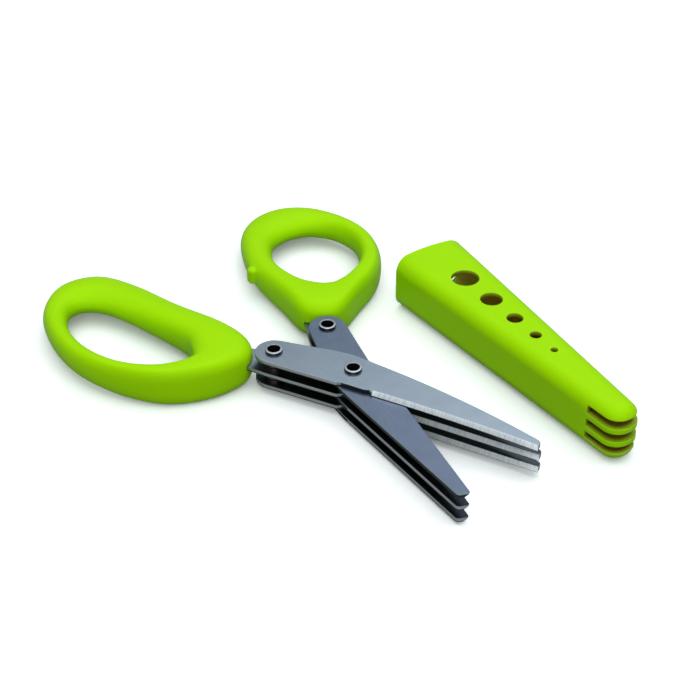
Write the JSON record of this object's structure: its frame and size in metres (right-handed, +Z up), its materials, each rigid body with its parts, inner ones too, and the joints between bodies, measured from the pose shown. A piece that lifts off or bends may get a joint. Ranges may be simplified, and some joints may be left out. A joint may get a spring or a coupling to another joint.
{
  "type": "herb scissors",
  "caption": "Herb scissors with stacked, interleaved blades riveted at a pivot and in moulded ring handles, with a perforated blade cover lying beside them.",
  "frame": {"origin": "middle of the bounding box of scissors and cover, on the surface they lie on", "axes": "+Z up from the surface; +X along the longest extent, from the finger handle towards the blade tips' side; +Y towards the thumb handle"},
  "size_m": [0.2092, 0.18, 0.0214],
  "materials": {
    "green_plastic": "moulded, satin",
    "blade_steel": "fine brushed",
    "rivet_steel": "turned and rolled",
    "spacer_metal": "dull turned"
  },
  "bodies": {
    "thumb_half": {"thumb_blade_top": "blade_steel", "thumb_blade_middle": "blade_steel", "thumb_blade_bottom": "blade_steel", "thumb_handle": "green_plastic", "thumb_rear_rivet": "rivet_steel", "thumb_spacer_upper": "spacer_metal", "thumb_spacer_lower": "spacer_metal"},
    "finger_half": {"finger_blade_top": "blade_steel", "finger_blade_middle": "blade_steel", "finger_blade_bottom": "blade_steel", "finger_handle": "green_plastic", "finger_rear_rivet": "rivet_steel", "finger_spacer_upper": "spacer_metal", "finger_spacer_lower": "spacer_metal", "pivot_rivet": "rivet_steel", "pivot_spacer_upper": "spacer_metal", "pivot_spacer_lower": "spacer_metal"},
    "cover": {"cover": "green_plastic"}
  },
  "joints": [
    {"name": "blade_pivot", "type": "hinge", "parent": "thumb_half", "child": "finger_half", "pos_m": [0.01012, -0.02651, 0.00795], "axis": [0, 0, 1], "range_deg": [-24, 18]},
    {"name": "cover_lift", "type": "slide", "parent": "thumb_half", "child": "cover", "axis": [0, 0, 1], "range_m": [0, 0.1]}
  ]
}
